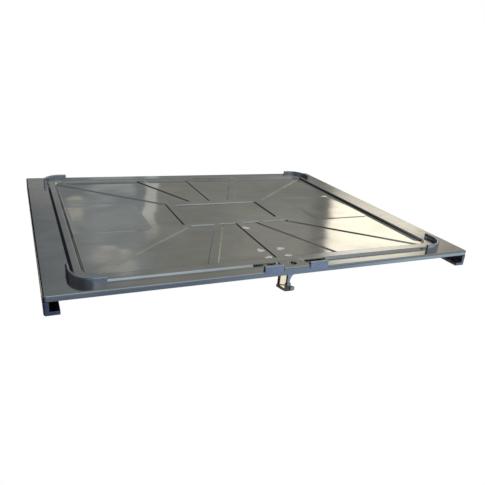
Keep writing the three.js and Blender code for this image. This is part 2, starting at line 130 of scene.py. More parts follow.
# How fine the mesh is on the top face and on the underside: spacing along its lines, spacing of the
# loose points between them, points round the keyhole, and distances of the rings round the keyhole.
FINE = (9, 14, 40, [0, 0.2, 0.5, 0.9, 1.8])
COARSE = (16, 24, 24, [0, 1.5])
ARC_STEP = 2.2
EDGE_POINTS_X = 61
EDGE_POINTS_Y = 49

# Guards: thickness, height, round of the top, and depth of the outer face below the flange.
CORNER_GUARD = (4.0, 9.0, 1.5, 0.4)
LATCH_GUARD = (5.0, 7.4, 2.0, EDGE_ROUND)
LATCH_GUARD_OUTER = 46.5
GUARD_SUNK = 0.4
GUARD_BEND = 31.2
GUARD_CENTER = (241.0, 196.0)
GUARD_END_LEG = 9.0
GUARD_SIDE_LEG = 15.0
GUARD_TURNS = 24

# Weld marks: middles, radius, stretch along X, and the share of the radius and height of each ring.
WELDS = [(-15.5, -195.0), (-15.5, -169.0), (15.5, -195.0), (15.5, -169.0), (0.0, -84.0)]
WELD_RADIUS = 5.3
WELD_STRETCH = 1.15
WELD_RINGS = [(0, 0.42), (0.22, 0.44), (0.42, 0.34), (0.58, 0.30), (0.72, 0.16), (0.86, 0.10), (1.0, -0.12)]
WELD_TURNS = 48
# Lobes of a weld mark's outline: how many there are round it, and how far they stand out.
WELD_LOBES = [(2, 0.16), (3, 0.12), (5, 0.09), (9, 0.05)]
WELD_SEED = 40
PLUG_RADIUS = 4.2
PLUG_DEPTH = 3.7


def mm(points):
    """Points in millimetres as vectors in metres."""
    return [Vector((x / 1000, y / 1000, z / 1000)) for x, y, z in points]


# ---- The pressed surface as a height above the flange -------------------------------------------

def soft_min(a, b, k):
    """The lower of two heights, with a round of size k where they cross."""
    h = np.clip(0.5 + 0.5 * (b - a) / k, 0, 1)
    return b * (1 - h) + a * h - k * h * (1 - h)


def soft_max(a, b, k):
    """The higher of two heights, with a round of size k where they cross."""
    return -soft_min(-a, -b, k)


def round_rect(x, y, half_x, half_y, radius):
    """Signed distance to a rounded rectangle, negative inside."""
    qx = np.abs(x) - half_x + radius
    qy = np.abs(y) - half_y + radius
    outside = np.hypot(np.maximum(qx, 0), np.maximum(qy, 0))
    return np.minimum(np.maximum(qx, qy), 0) + outside - radius


def rib_lines():
    """Both ends of each rib: three at the front, three at the back and one to each corner."""
    lines = []
    for sy in (-1, 1):
        start_y, end_y = sy * RIB_START_Y, sy * RIB_END_Y
        lines.append(((0, start_y), (0, end_y)))
        for sx in (-1, 1):
            lines.append(((sx * SPLAYED_START_X, start_y), (sx * SPLAYED_END_X, end_y)))
            (x0, y0), (x1, y1) = CORNER_RIB_START, CORNER_RIB_END
            lines.append(((sx * x0, sy * y0), (sx * x1, sy * y1)))
    return lines


def rib_distance(x, y, line, half):
    """Signed distance to a strip along a line, negative inside."""
    (x0, y0), (x1, y1) = line
    length = math.hypot(x1 - x0, y1 - y0)
    ux, uy = (x1 - x0) / length, (y1 - y0) / length
    along = (x - x0) * ux + (y - y0) * uy
    across = (y - y0) * ux - (x - x0) * uy
    return np.maximum(np.abs(across) - half, np.abs(along - length / 2) - length / 2)


# Waves left in the sheet by pressing and rolling: height, waves per metre along X and Y, phase.
WAVES = [
    (0.090, 4.1, 2.6, 0.7), (0.070, 6.3, -4.9, 2.1), (0.045, 9.7, 5.8, 4.4),
    (0.030, -7.2, 11.0, 1.3), (0.018, 16.0, 9.0, 3.2), (0.010, 23.0, -17.0, 5.1),
]
# Shallow dents: X, Y, radius along X, radius along Y, depth.
DENTS = [
    (-226, 96, 26, 15, 0.20), (-205, -118, 34, 20, -0.22), (-166, -150, 22, 16, 0.17),
    (-140, -172, 18, 11, -0.10), (150, 96, 26, 18, 0.12), (118, -60, 22, 26, -0.10),
]


# How strong the waves are on the rim, and over what distance they grow to full inside the ridge.
RIM_WAVES = 0.25
WAVE_FADE = 20.0


def sheet_waves(x, y):
    """Height of the waves and dents, which the CAD part doesn't have."""
    total = 0 * x
    for height, wx, wy, phase in WAVES:
        total = total + height * np.sin(2 * math.pi * (wx * x + wy * y) / 1000 + phase)
    for cx, cy, rx, ry, depth in DENTS:
        total = total - depth * np.exp(-((x - cx) / rx) ** 2 - ((y - cy) / ry) ** 2)
    return total


def ridge_and_floor(x, y, draw):
    """Height of the rim, the ridge and the floor, and the distance out from the floor's edge."""
    hx, hy, r = RIDGE_OUTER
    steepness = (RIDGE_TOP + RIDGE_SUNK) / OUTER_SLOPE
    outer = -round_rect(x, y, hx - draw, hy - draw, r) * steepness - RIDGE_SUNK
    hx, hy, r = RIDGE_INNER
    distance = round_rect(x, y, hx + draw, hy + draw, r)
    inner = distance * (RIDGE_TOP - FLOOR) / INNER_SLOPE + FLOOR
    ridge = soft_min(soft_min(outer, RIDGE_TOP, RIDGE_CROWN), inner, RIDGE_CROWN)
    return soft_max(ridge, np.where(inner < outer, FLOOR, 0.0), RIDGE_FOOT), distance


def drafted_wall(distance, rise):
    """Height of a wall on the floor, from the distance out from its foot."""
    return -distance * (rise + RIB_SUNK) / RIB_DRAFT + FLOOR - RIB_SUNK


def border_height(x, y, draw):
    """Height of the raised border round the central panel."""
    hx, hy, r = BORDER_OUTER
    rise = drafted_wall(round_rect(x, y, hx - draw, hy - draw, r), BORDER_RISE)
    hx, hy, r = BORDER_INNER
    fall = round_rect(x, y, hx + draw, hy + draw, r) * BORDER_FALL + FLOOR
    return soft_min(soft_min(rise, FLOOR + BORDER_RISE, CROWN), fall, CROWN)


def pressed_height(x, y, draw=0.0):
    """Height of the pressed face. draw brings every wall in by that much, for the underside."""
    height, floor_distance = ridge_and_floor(x, y, draw)
    pad = -round_rect(x - LATCH_X, y - PAD_Y, PAD_HALF - draw, PAD_REACH, PAD_CORNER) * PAD_STEEPNESS
    height = soft_max(height, soft_min(pad, RIDGE_TOP, CROWN), PAD_FOOT)
    bottom = FLOOR - FIELD_DROP
    for side in (-1, 1):
        field = round_rect(x - side * FIELD_X, y, FIELD[0] + draw, FIELD[1] + draw, FIELD[2])
        sunk = soft_max(bottom + field * FIELD_SLOPE, bottom, FIELD_BLEND)
        height = np.where(field < FIELD_REACH, soft_min(height, sunk, FIELD_BLEND), height)
    for line in rib_lines():
        rib = drafted_wall(rib_distance(x, y, line, RIB_HALF - draw), RIB_RISE)
        height = soft_max(height, soft_min(rib, FLOOR + RIB_RISE, CROWN), FOOT)
    height = soft_max(height, border_height(x, y, draw), FOOT)
    well = np.clip(-floor_distance / WAVE_FADE, 0, 1)
    well = well * well * (3 - 2 * well)
    return height + sheet_waves(x, y) * (RIM_WAVES + (1 - RIM_WAVES) * well)


def rounding(distance, radius):
    """How far a rounded edge drops at a distance in from the edge."""
    d = np.clip(distance, 0, radius)
    return radius - np.sqrt(np.maximum(radius ** 2 - (radius - d) ** 2, 0))


def top_height(x, y):
    """The top face, with the round of the folded edges, of the side edges and of the keyhole's rim."""
    fold = rounding(HALF_Y - np.abs(y), EDGE_ROUND)
    trim = rounding(HALF_X - np.abs(x), SIDE_ROUND)
    rim = np.clip((np.hypot(x - LATCH_X, y - KEYHOLE_Y) - KEYHOLE_R) / KEYHOLE_ROUND, 0, 1)
    return pressed_height(x, y) - np.hypot(fold, trim) - KEYHOLE_SINK * (1 - rim) ** 2


def under_height(x, y):
    """The underside of the sheet."""
    return pressed_height(x, y, DRAW) - SHEET


# ---- Triangulating the sheet --------------------------------------------------------------------

def rounded_loop(half_x, half_y, radius, step, center=(0, 0)):
    """Points round a rounded rectangle, less than two steps apart along its sides."""
    radius = max(radius, 0.2)
    turns = max(3, int(radius * math.pi / 2 / ARC_STEP))
    loop = []
    corners = [(1, -1, -90), (1, 1, 0), (-1, 1, 90), (-1, -1, 180)]
    for sx, sy, start in corners:
        for i in range(turns + 1):
            a = math.radians(start + 90 * i / turns)
            loop.append((
                center[0] + sx * (half_x - radius) + radius * math.cos(a),
                center[1] + sy * (half_y - radius) + radius * math.sin(a),
            ))
    full = []
    for i, (x0, y0) in enumerate(loop):
        x1, y1 = loop[(i + 1) % len(loop)]
        parts = max(1, int(math.hypot(x1 - x0, y1 - y0) / step))
        full += [(x0 + (x1 - x0) * k / parts, y0 + (y1 - y0) * k / parts) for k in range(parts)]
    return full


def ring_loops(outline, offsets, step, center):
    """An outline grown by each offset."""
    hx, hy, r = outline
    return [rounded_loop(hx + o, hy + o, max(r + o, 0.4), step, center) for o in offsets]


def rib_rings(line, half, offsets, step):
    """Lines along both sides of a rib, at each offset from its sides."""
    (x0, y0), (x1, y1) = line
    length = math.hypot(x1 - x0, y1 - y0)
    ux, uy = (x1 - x0) / length, (y1 - y0) / length
    parts = int(length / step)
    rows = []
    for offset in offsets:
        for side in (-1, 1):
            ax, ay = -uy * side * (half + offset), ux * side * (half + offset)
            rows.append([
                (x0 + ax + ux * length * k / parts, y0 + ay + uy * length * k / parts)
                for k in range(parts + 1)
            ])
    return rows


class Drawing:
    """Points and edges in plan, for a constrained triangulation."""

    def __init__(self):
        self.points = []
        self.edges = []

    def line(self, points, closed=False):
        """Adds a run of points, with an edge between each two."""
        first = len(self.points)
        self.points += [Vector(p) for p in points]
        count = len(points)
        self.edges += [(first + i, first + i + 1) for i in range(count - 1)]
        if closed:
            self.edges.append((first + count - 1, first))

    def triangles(self, dropped):
        """The points and triangles, without the triangles whose middles are dropped."""
        found = delaunay_2d_cdt(self.points, self.edges, [], 0, 1e-4)
        points = np.array([tuple(p) for p in found[0]])
        faces = np.array([list(f) for f in found[2]])
        keep = ~dropped(points[faces].mean(axis=1))
        return points, faces[keep]


def plan(draw, fine, half_y):
    """Every line that the sheet's mesh follows. draw moves the lines in for the underside."""
    step, grid, keyhole_turns, keyhole_rows = FINE if fine else COARSE
    drawing = Drawing()

    def thin(rows):
        return rows if fine else rows[::2]

    def add_loops(outline, sign, rows, center=(0, 0)):
        grown = (outline[0] + sign * draw, outline[1] + sign * draw, outline[2])
        for loop in ring_loops(grown, thin(rows), step, center):
            drawing.line(loop, True)

    edge_rows = TOP_ROWS if fine else [0]
    xs = boundary_xs()
    for sy in (-1, 1):
        for row in edge_rows:
            drawing.line([(x, sy * (half_y - row)) for x in xs])
    for sx in (-1, 1):
        for row in (SIDE_ROWS if fine else [0]):
            drawing.line([(sx * (HALF_X - row), y) for y in boundary_ys(half_y, edge_rows)])
    add_loops(RIDGE_OUTER, -1, RIDGE_OUTER_ROWS)
    add_loops(RIDGE_INNER, 1, RIDGE_INNER_ROWS)
    add_loops(BORDER_OUTER, -1, WALL_ROWS)
    add_loops(BORDER_INNER, 1, BORDER_INNER_ROWS)
    for side in (-1, 1):
        add_loops(FIELD, 1, FIELD_ROWS, (side * FIELD_X, 0))
    for line in rib_lines():
        for row in rib_rings(line, RIB_HALF - draw, thin(WALL_ROWS), step):
            drawing.line(row)
    for x in pad_lines(draw):
        drawing.line([(x, y) for y in np.linspace(-half_y, PAD_BACK - 1, 9)])
    for row in keyhole_rows:
        drawing.line(keyhole_circle(KEYHOLE_R + row, keyhole_turns), True)
    for side in (-1, 1):
        drawing.line(slot_loop(side), True)
    for gx in np.arange(-HALF_X + grid / 2, HALF_X, grid):
        for gy in np.arange(-half_y + grid / 2, half_y, grid):
            drawing.points.append(Vector((gx, gy)))
    return drawing


def pad_lines(draw):
    """Where the mesh has lines along the sides of the latch pad."""
    return [LATCH_X + side * (PAD_HALF - draw + row) for side in (-1, 1) for row in PAD_ROWS]


def boundary_xs():
    """Where points lie along the front and back edges."""
    xs = list(np.linspace(-HALF_X, HALF_X, EDGE_POINTS_X))
    xs += pad_lines(0) + [s * (HALF_X - r) for s in (-1, 1) for r in SIDE_ROWS + [2.8, CORNER]]
    return sorted(set(np.round(xs, 4)))


def boundary_ys(half_y, rows):
    """Where points lie along the side edges."""
    ys = list(np.linspace(-half_y, half_y, EDGE_POINTS_Y))
    ys += [s * (half_y - r) for s in (-1, 1) for r in rows]
    return sorted(set(np.round(ys, 4)))


def keyhole_circle(radius, turns):
    """Points on a circle round the middle of the keyhole."""
    angles = [2 * math.pi * i / turns for i in range(turns)]
    return [(LATCH_X + radius * math.cos(a), KEYHOLE_Y + radius * math.sin(a)) for a in angles]


def slot_loop(side):
    """Points round the slot on one side of the latch pad."""
    return rounded_loop(*SLOT, 6, (LATCH_X + side * SLOT_X, SLOT_Y))


def in_hole(centers):
    """Which of these places lie in the keyhole or in a slot."""
    x, y = centers[:, 0], centers[:, 1]
    hole = np.hypot(x - LATCH_X, y - KEYHOLE_Y) < KEYHOLE_R
    for side in (-1, 1):
        hole |= round_rect(x - LATCH_X - side * SLOT_X, y - SLOT_Y, *SLOT) < 0
    return hole


def surface_normals(points, height, up):
    """Normals of a height function at these points, facing up or down."""
    e = 0.04
    x, y = points[:, 0], points[:, 1]
    inside_x = np.clip(x, -HALF_X + e, HALF_X - e)
    inside_y = np.clip(y, -HALF_Y + e, HALF_Y - e)
    gx = (height(inside_x + e, y) - height(inside_x - e, y)) / (2 * e)
    gy = (height(x, inside_y + e) - height(x, inside_y - e)) / (2 * e)
    normals = np.stack([-gx, -gy, np.ones_like(gx)], axis=1)
    normals /= np.linalg.norm(normals, axis=1)[:, None]
    return normals if up else -normals


class Shell:
    """Collects vertices with their own normals, and faces."""

    def __init__(self):
        self.points = []
        self.normals = []
        self.faces = []

    def add(self, points, normals, faces):
        """Adds vertices, and faces that count from the first of them."""
        first = len(self.points)
        self.points += [tuple(p) for p in points]
        self.normals += [tuple(n) for n in normals]
        self.faces += [tuple(first + i for i in f) for f in faces]

    def sweep(self, rows, flip=False):
        """A smooth skin over rows of points that have the same count."""
        rows = np.array(rows, float)
        along = np.gradient(rows, axis=0)
        across = np.gradient(rows, axis=1)
        normals = np.cross(along, across)
        length = np.linalg.norm(normals, axis=2)[..., None]
        normals = normals / np.maximum(length, 1e-9) * (-1 if flip else 1)
        n, m = rows.shape[:2]
        faces = []
        for i in range(n - 1):
            for j in range(m - 1):
                quad = (i * m + j, (i + 1) * m + j, (i + 1) * m + j + 1, i * m + j + 1)
                faces.append(quad[::-1] if flip else quad)
        self.add(rows.reshape(-1, 3), normals.reshape(-1, 3), faces)

    def round_corners(self):
        """Draws the square corners of the cover in to round ones."""
        points = np.array(self.points)
        normals = np.array(self.normals)
        signs = np.sign(points[:, :2])
        start = np.array([HALF_X, HALF_Y]) - CORNER
        u, v = np.clip((np.abs(points[:, :2]) - start) / CORNER, 0, 1).T
        near = (u > 0) & (v > 0)
        outward = np.column_stack([u * np.sqrt(1 - v ** 2 / 2), v * np.sqrt(1 - u ** 2 / 2)])
        points[near, :2] = (signs * (start + CORNER * outward))[near]
        outward = outward * signs
        outward /= np.maximum(np.hypot(outward[:, 0], outward[:, 1]), 1e-6)[:, None]
        level = np.hypot(normals[:, 0], normals[:, 1])
        inward = (normals[:, :2] * outward).sum(axis=1) < 0
        turned = outward * (level * np.where(inward, -1, 1))[:, None]
        normals[near, :2] = turned[near]
        self.points = [tuple(p) for p in points]
        self.normals = [tuple(n) for n in normals]

    def build(self, name):
        """Makes the object, with the normals that were given."""
        mesh = bpy.data.meshes.new(name)
        mesh.from_pydata([Vector(p) / 1000 for p in self.points], [], self.faces)
        mesh.shade_smooth()
        mesh.normals_split_custom_set_from_vertices(self.normals)
        piece = bpy.data.objects.new(name, mesh)
        bpy.context.collection.objects.link(piece)
        return piece


def lifted(points, z):
    """Points of a plan at a height above the flange."""
    return np.column_stack([points[:, 0], points[:, 1], FLANGE_Z + z])


def add_lip(shell, sy):
    """The front or back lip, with a rounded lower edge, and a cap on each of its ends."""
    low = FLANGE_Z - LIP
    xs = np.array(boundary_xs())
    outer = FLANGE_Z + top_height(xs, np.full_like(xs, sy * HALF_Y))
    inner = FLANGE_Z + under_height(xs, np.full_like(xs, sy * (HALF_Y - SHEET)))
    profile = [(0, outer), (0, low + LIP_WALL_END)]
    profile += [(inset, low + z) for inset, z in LIP_FOOT]
    profile += [(SHEET, inner)]
    rows = []
    for inset, z in profile:
        rows.append(np.column_stack([xs, np.full_like(xs, sy * (HALF_Y - inset)), z + 0 * xs]))
    shell.sweep(rows, flip=sy < 0)
    insets, feet = np.array(LIP_FOOT).T
    y = sy * (HALF_Y - insets)
    for sx in (-1, 1):
        x = np.full_like(y, sx * HALF_X)
        head = FLANGE_Z + top_height(x, y)
        rows = [np.column_stack([x, y, head * (1 - t) + (low + feet) * t]) for t in (0, 0.5, 1)]
        shell.sweep(rows, flip=sx * sy < 0)


def add_side_edges(shell):
    """The raw side edges of the sheet."""
    ys = np.array(boundary_ys(HALF_Y, TOP_ROWS + [3.1, CORNER]))
    for sx in (-1, 1):
        edge_x = np.full_like(ys, sx * HALF_X)
        upper = FLANGE_Z + top_height(edge_x, ys)
        lower = np.minimum(FLANGE_Z - SHEET, upper - 0.2)
        rows = [np.column_stack([edge_x, ys, upper * (1 - t) + lower * t]) for t in (0, 1)]
        shell.sweep(rows, flip=sx > 0)


def add_hole_walls(shell):
    """Walls of the keyhole, which is drawn down in a short collar, and of the slots."""
    keyhole = keyhole_circle(KEYHOLE_R, FINE[2])
    loops = [(keyhole, KEYHOLE_COLLAR), (slot_loop(-1), 0), (slot_loop(1), 0)]
    for loop, collar in loops:
        loop = np.array(loop + loop[:1])
        upper = FLANGE_Z + top_height(loop[:, 0], loop[:, 1])
        lower = FLANGE_Z + under_height(loop[:, 0], loop[:, 1])
        lower = np.minimum(lower, upper - 1.2) - collar
        rows = [np.column_stack([loop, upper * (1 - t) + lower * t]) for t in (0, 0.5, 1)]
        shell.sweep(rows, flip=True)


def cover_sheet():
    """The whole pressed sheet: top face, underside, lips, side edges, hole walls and returns."""
    shell = Shell()
    points, faces = plan(0.0, True, HALF_Y).triangles(in_hole)
    height = top_height(points[:, 0], points[:, 1])
    shell.add(lifted(points, height), surface_normals(points, top_height, True), faces)
    points, faces = plan(DRAW, False, HALF_Y - SHEET).triangles(in_hole)
    height = under_height(points[:, 0], points[:, 1])
    shell.add(lifted(points, height), surface_normals(points, under_height, False), faces[:, ::-1])
    for sy in (-1, 1):
        add_lip(shell, sy)
    add_side_edges(shell)
    add_hole_walls(shell)
    for x0, x1, sy in RETURNS:
        rows = [[(x, sy * (HALF_Y - d), FLANGE_Z - LIP + z) for d, z in RETURN_SECTION] for x in (x0, x1)]
        shell.sweep(rows, flip=sy > 0)
    shell.round_corners()
    piece = shell.build("cover_sheet")
    mark_zones(piece)
    return piece


# Pale warm blotches on the floor, part stain and part painted highlight: X, Y, radius along X, radius along
# Y, strength.
STAINS_AND_HIGHLIGHTS = [
    (-221, -142, 20, 17, 0.9), (-205, -186, 24, 9, 1.0), (-236, 66, 8, 26, 0.7), (-222, 92, 16, 7, 0.8),
    (-182, -128, 16, 20, 0.35), (-196, 158, 40, 7, 0.5), (-60, -178, 60, 8, 0.25),
    (190, -150, 30, 14, 0.4),
]


# Over what distance the zones of the sheet fade, and where its rim starts to be worn.
RIM_FADE = 3.0
MITRE_FADE = 8.0
WORN_START = -40.0
WORN_FADE = 200.0


def mark_zones(piece):
    """Numbers at each point: how much it is rim, side rim, right rim, and how strong its pale blotch is,
    part stain and part painted highlight.
    """
    co = np.zeros(len(piece.data.vertices) * 3, np.float32)
    piece.data.vertices.foreach_get("co", co)
    x, y, z = (co.reshape(-1, 3) * 1000).T.astype(float)
    rim = np.clip(round_rect(x, y, *RIDGE_INNER) / RIM_FADE, 0, 1)
    sides = np.clip((np.abs(x) * HALF_Y / HALF_X - np.abs(y)) / MITRE_FADE + 0.5, 0, 1) * rim
    worn = np.clip((x - WORN_START) / WORN_FADE, 0, 1) * rim
    stain_and_highlight = 0 * x
    for cx, cy, rx, ry, strength in STAINS_AND_HIGHLIGHTS:
        stain_and_highlight = stain_and_highlight + strength * np.exp(-((x - cx) / rx) ** 2 - ((y - cy) / ry) ** 2)
    zones = (("rim", rim), ("side_rim", sides), ("worn_rim", worn), ("stain_and_highlight", np.clip(stain_and_highlight, 0, 1)))
    for name, values in zones:
        layer = piece.data.attributes.new(name, "FLOAT", "POINT")
        layer.data.foreach_set("value", values.astype(np.float32))


# ---- Pieces made from the CAD solids, with their edges rounded ---------------------------------

# What counts as an outer edge of a side channel, in metres: how near it is to the outer face, its
# least length, and the height that it stays below.
SAME_PLACE = 1e-5
SHORTEST_EDGE = 0.006
CHANNEL_TOP = 0.038
# Vertices of a CAD solid that are nearer to each other than this are one, in metres.
MERGE = 2e-6


def bevel_edges(form, edges, width, segments):
    """Rounds these edges. width is in millimetres."""
    bmesh.ops.bevel(
        form, geom=edges, offset=width / 1000, offset_type="OFFSET", segments=segments,
        profile=0.5, affect="EDGES", clamp_overlap=True,
    )


def outer_edges(form):
    """The upright edges on the outer face of a side channel, and that face's bottom edge."""
    far = max(abs(v.co.x) for v in form.verts) - SAME_PLACE
    return [
        e for e in form.edges
        if min(abs(v.co.x) for v in e.verts) > far
        and e.calc_length() > SHORTEST_EDGE
        and e.calc_face_angle(0) > 1
        and max(v.co.z for v in e.verts) < CHANNEL_TOP
    ]


def fine_copy(node, width, segments=3, angle=28, corner=0.0):
    """A copy of a CAD solid with its flat faces merged and its edges rounded, where its faces turn by
    more than angle. Where corner is given, a channel's outer edges are rounded by it first."""
    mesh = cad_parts[node].data.copy()
    mesh.materials.clear()
    piece = bpy.data.objects.new("fine_" + node, mesh)
    bpy.context.collection.objects.link(piece)
    form = bmesh.new()
    form.from_mesh(mesh)
    low = [min(v.co[k] for v in form.verts) for k in range(3)]
    high = [max(v.co[k] for v in form.verts) for k in range(3)]
    bmesh.ops.remove_doubles(form, verts=form.verts, dist=MERGE)
    bmesh.ops.dissolve_limit(form, angle_limit=math.radians(1.0), verts=form.verts, edges=form.edges)
    if corner:
        bevel_edges(form, outer_edges(form), corner, 6)
    sharpest = math.radians(angle)
    sharp = [e for e in form.edges if len(e.link_faces) == 2 and e.calc_face_angle(0) > sharpest]
    bevel_edges(form, sharp, width, segments)
    for v in form.verts:
        v.co = [min(max(v.co[k], low[k]), high[k]) for k in range(3)]
    bmesh.ops.recalc_face_normals(form, faces=form.faces)
    form.to_mesh(mesh)
    form.free()
    mesh.shade_smooth()
    weighted = piece.modifiers.new("weighted", "WEIGHTED_NORMAL")
    weighted.mode = "FACE_AREA"
    weighted.weight = 80
    weighted.keep_sharp = False
    return piece


# ---- Guards -------------------------------------------------------------------------------------

# The angles of a quarter turn.
QUARTER = [math.radians(90 * i / 6) for i in range(7)]
# The round of a guard's ends as a share of the round of its top.
END_ROUND_SHARE = 0.6
# A point in the round of the top of a guard's section, used to see which way an end faces.
CROWN_POINT = 9


def guard_profile(form):
    """The section of a guard, as distance in from its outer face and height above the flange."""
    wall, high, top_round, foot = form
    profile = [(0, -foot), (0, 0), (0, high * 0.3), (0, high * 0.6)]
    for a in QUARTER:
        profile.append((top_round * (1 - math.cos(a)), high - top_round * (1 - math.sin(a))))
    for a in QUARTER:
        profile.append((wall - top_round * (1 - math.sin(a)), high - top_round * (1 - math.cos(a))))
    return profile + [(wall, high * 0.6), (wall, high * 0.3), (wall, -GUARD_SUNK)]


def guard_stations(path, end_round):
    """The path with a rounded run at each end, as (x, y, outward x, outward y, how far drawn in)."""
    rounds = [(end_round * (1 - math.sin(a)), end_round * (1 - math.cos(a))) for a in QUARTER]
    stations = []
    for i, (x, y, nx, ny) in enumerate(path):
        if 0 < i < len(path) - 1:
            stations.append((x, y, nx, ny, 0))
            continue
        other = path[1] if i == 0 else path[-2]
        length = math.hypot(other[0] - x, other[1] - y)
        tx, ty = (other[0] - x) / length, (other[1] - y) / length
        ends = [(x + tx * s, y + ty * s, nx, ny, e) for s, e in rounds]
        stations += ends[::-1] if i == 0 else ends
    return stations


def guard_wall(node, path, form):
    """A wall along a path, with a rounded top and rounded ends. The path gives the outer face as
    (x, y, outward x, outward y), and form is one of the guards above."""
    wall, high, top_round = form[:3]
    profile = guard_profile(form)
    rows = []
    for x, y, nx, ny, e in guard_stations(path, top_round * END_ROUND_SHARE):
        insets = [(min(max(inset, e), wall - e), min(z, high - e)) for inset, z in profile]
        rows.append([(x - nx * inset, y - ny * inset, FLANGE_Z + z) for inset, z in insets])
    shell = Shell()
    (x0, y0, nx, ny), (x1, y1) = path[0], path[1][:2]
    shell.sweep(rows, flip=(y1 - y0) * nx - (x1 - x0) * ny < 0)
    for ring, last, before in ((rows[0], path[0], path[1]), (rows[-1], path[-1], path[-2])):
        out = Vector((last[0] - before[0], last[1] - before[1], 0)).normalized()
        order = tuple(range(len(ring)))
        a, b, c = (Vector(ring[k]) for k in (0, CROWN_POINT, len(ring) - 1))
        if (b - a).cross(c - b).dot(out) < 0:
            order = order[::-1]
        shell.add(ring, [tuple(out)] * len(ring), [order])
    return shell.build("fine_" + node)


def corner_guard(node, sx, sy):
    """The wall round one corner of the ridge."""
    cx, cy = GUARD_CENTER
    path = [(x, cy + GUARD_BEND, 0, 1) for x in np.linspace(cx - GUARD_END_LEG, cx, 3)]
    for i in range(1, GUARD_TURNS):
        a = math.radians(90 - 90 * i / GUARD_TURNS)
        nx, ny = math.cos(a), math.sin(a)
        path.append((cx + GUARD_BEND * nx, cy + GUARD_BEND * ny, nx, ny))
    path += [(cx + GUARD_BEND, y, 1, 0) for y in np.linspace(cy, cy - GUARD_SIDE_LEG, 4)]
    path = [(sx * x, sy * y, sx * nx, sy * ny) for x, y, nx, ny in path]
    return guard_wall(node, path, CORNER_GUARD)


def latch_guard(node, side):
    """The block on the front edge on one side of the latch pad."""
    xs = np.linspace(PAD_HALF, LATCH_GUARD_OUTER, 8)
    path = [(LATCH_X + side * x, -HALF_Y, 0, -1) for x in xs]
    return guard_wall(node, path, LATCH_GUARD)


# ---- Weld marks ---------------------------------------------------------------------------------

def weld_mark(index, place, seed):
    """A low irregular button of weld with a smeared skirt, on a plug that goes through the sheet."""
    rng = np.random.default_rng(seed)
    x0, y0 = place
    base = top_height(np.array([float(x0)]), np.array([float(y0)]))[0]
    phases = rng.uniform(0, 2 * math.pi, 6)
    turns = WELD_TURNS
    verts, faces = [], []
    for ring, height in WELD_RINGS:
        for i in range(turns if ring else 1):
            a = 2 * math.pi * i / turns
            wobble = sum(size * math.sin(n * a + phase) for (n, size), phase in zip(WELD_LOBES, phases))
            r = WELD_RADIUS * ring * (1 + wobble * ring)
            x, y = x0 + WELD_STRETCH * r * math.cos(a), y0 + r * math.sin(a)
            bump = 0.06 * math.sin(2.3 * x + phases[4]) * math.sin(2.9 * y + phases[5]) * (ring < 1)
            under = top_height(np.array([x]), np.array([y]))[0]
            verts.append((x, y, FLANGE_Z + (base + under) / 2 + height + bump))
    for i in range(turns):
        faces.append((0, 1 + i, 1 + (i + 1) % turns))
    for k in range(len(WELD_RINGS) - 2):
        for i in range(turns):
            a, b = 1 + k * turns + i, 1 + k * turns + (i + 1) % turns
            faces.append((a, a + turns, b + turns, b))
    last = 1 + (len(WELD_RINGS) - 2) * turns
    first_low = len(verts)
    for i in range(turns):
        a = 2 * math.pi * i / turns
        x, y = x0 + PLUG_RADIUS * math.cos(a), y0 + PLUG_RADIUS * math.sin(a)
        verts.append((x, y, FLANGE_Z - PLUG_DEPTH))
        j = (i + 1) % turns
        faces.append((last + i, first_low + i, first_low + j, last + j))
    faces.append(tuple(first_low + i for i in range(turns))[::-1])
    mesh = bpy.data.meshes.new(f"weld_mark_{index}")
    mesh.from_pydata(mm(verts), [], faces)
    mesh.shade_smooth()
    piece = bpy.data.objects.new(f"weld_mark_{index}", mesh)
    bpy.context.collection.objects.link(piece)
    return piece


# ---- Materials ----------------------------------------------------------------------------------

class Nodes:
    """A short way to write a node tree."""

    def __init__(self, tree):
        self.tree = tree
        tree.nodes.clear()

    def add(self, kind, inputs=(), **settings):
        """Adds a node. An input is a value, or a socket to link."""
        node = self.tree.nodes.new(kind)
        for key, value in settings.items():
            setattr(node, key, value)
        for key, value in dict(inputs).items():
            if isinstance(value, bpy.types.NodeSocket):
                self.tree.links.new(value, node.inputs[key])
            else:
                node.inputs[key].default_value = value
        return node

    def math(self, operation, a, b=0.0):
        return self.add("ShaderNodeMath", {0: a, 1: b}, operation=operation).outputs[0]

    def ramp(self, value, low, high, out_low=0.0, out_high=1.0, smooth=False):
        """Maps low to high onto another range, and holds it at both ends."""
        node = self.add("ShaderNodeMapRange", {
            "Value": value, "From Min": low, "From Max": high, "To Min": out_low, "To Max": out_high,
        }, interpolation_type="SMOOTHSTEP" if smooth else "LINEAR")
        return node.outputs[0]

    def mix(self, factor, a, b, blend="MIX"):
        """Mixes two colours."""
        node = self.add("ShaderNodeMix", data_type="RGBA", blend_type=blend)
        for key, value in ((0, factor), (6, a), (7, b)):
            if isinstance(value, bpy.types.NodeSocket):
                self.tree.links.new(value, node.inputs[key])
            else:
                node.inputs[key].default_value = value
        return node.outputs[2]

    def noise(self, vector, scale, detail=3.0, stretch=(1, 1, 1), distortion=0.0):
        """Noise over an object, finer along the axes where stretch is high."""
        mapped = self.add("ShaderNodeMapping", {"Vector": vector, "Scale": stretch}).outputs[0]
        node = self.add("ShaderNodeTexNoise", {
            "Vector": mapped, "Scale": scale, "Detail": detail,
            "Roughness": 0.55, "Distortion": distortion,
        })
        return node.outputs["Fac"]


def rgb(r, g, b):
    return (r, g, b, 1)


def new_material(name):
    material = bpy.data.materials.new(name)
    material.use_nodes = True
    return material, Nodes(material.node_tree)


